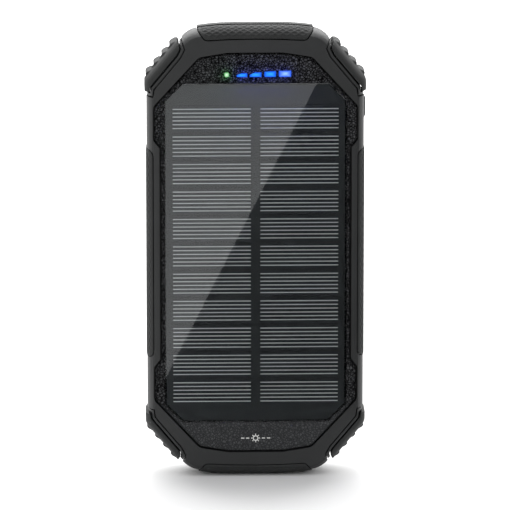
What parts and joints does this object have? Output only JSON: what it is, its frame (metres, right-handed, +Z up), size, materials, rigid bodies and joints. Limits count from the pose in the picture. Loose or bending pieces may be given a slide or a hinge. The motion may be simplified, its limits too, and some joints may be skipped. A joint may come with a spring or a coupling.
{
  "type": "solar phone charger",
  "caption": "Rugged pocket power bank with a solar panel on its face, charge lights, a side button, corner bumpers and a hinged rubber cover over its sockets.",
  "frame": {"origin": "middle of the level land on the bottom end pad, where the charger stands on a table; bottom centre of the whole box", "axes": "+Z up along the length, from the foot pad to the socket cover; the solar panel faces -Y and the plain back +Y; +X towards the power button's side"},
  "size_m": [0.08, 0.022, 0.1668],
  "materials": {
    "frame_plastic": "soft-touch dark grey",
    "cover_plastic": "black, leather grain",
    "bumper_rubber": "dark grey elastomer, ribbed and cross-hatched",
    "button_rubber": "dark grey, matt",
    "seal_silicone": "black silicone",
    "panel_sheet": "clear cast sheet over dark cells, glossy",
    "solar_cell": "dark silicon with thin pale lines",
    "panel_board": "black laminate",
    "circuit_board": "green solder mask",
    "screw_steel": "zinc plated",
    "socket_steel": "nickel plated sheet",
    "socket_plastic": "black nylon",
    "cell_foil": "satin pouch foil",
    "foam_tape": "black foam",
    "ferrite": "dark grey, matt",
    "wire_red": "red insulation",
    "wire_black": "black insulation",
    "lens_blue": "lit blue light pipe",
    "lens_green": "lit green light pipe",
    "led_body": "white chip body"
  },
  "bodies": {
    "case": {"front_frame": "frame_plastic", "rear_shell": "frame_plastic", "seal_ring": "seal_silicone", "case_screw_1": "screw_steel", "case_screw_2": "screw_steel", "case_screw_3": "screw_steel", "case_screw_4": "screw_steel", "case_screw_5": "screw_steel", "case_screw_6": "screw_steel", "front_cover": "cover_plastic", "panel_cover_sheet": "panel_sheet", "solar_string_left": "solar_cell", "solar_string_right": "solar_cell", "panel_backing_board": "panel_board", "side_grip_left": "bumper_rubber", "side_grip_right": "bumper_rubber", "corner_bumper_top_left": "bumper_rubber", "corner_bumper_top_right": "bumper_rubber", "corner_bumper_bottom_left": "bumper_rubber", "corner_bumper_bottom_right": "bumper_rubber", "bottom_pad": "bumper_rubber", "top_pad": "bumper_rubber", "cover_strap": "bumper_rubber", "tact_switch": "socket_steel", "status_lens": "lens_green", "status_led": "led_body", "charge_lens_1": "lens_blue", "charge_lens_2": "lens_blue", "charge_lens_3": "lens_blue", "charge_lens_4": "lens_blue", "charge_led_1": "led_body", "charge_led_2": "led_body", "charge_led_3": "led_body", "charge_led_4": "led_body", "indicator_board": "circuit_board", "board_header": "socket_plastic", "main_board": "circuit_board", "usb_a_shell_left": "socket_steel", "usb_a_tongue_left": "socket_plastic", "usb_a_shell_right": "socket_steel", "usb_a_tongue_right": "socket_plastic", "charge_port_shell": "socket_steel", "charge_port_tongue": "socket_plastic", "boost_inductor": "ferrite", "controller_chip": "socket_plastic", "output_capacitor": "cell_foil", "battery_cell_front": "cell_foil", "battery_cell_rear": "cell_foil", "battery_tape": "foam_tape", "battery_foam": "foam_tape", "protection_board": "circuit_board", "battery_lead_positive": "wire_red", "battery_lead_negative": "wire_black", "panel_lead_positive": "wire_red", "panel_lead_negative": "wire_black"},
    "socket_cover": {"socket_cover": "bumper_rubber"},
    "power_button": {"power_button": "button_rubber", "switch_plunger": "socket_plastic"}
  },
  "joints": [
    {"name": "socket_cover_hinge", "type": "hinge", "parent": "case", "child": "socket_cover", "pos_m": [0, 0.01085, 0.16015], "axis": [-1, 0, 0], "range_deg": [0, 135]},
    {"name": "power_button_press", "type": "slide", "parent": "case", "child": "power_button", "axis": [-1, 0, 0], "range_m": [0, 0.0004], "stiffness_N_per_m": 1500}
  ]
}
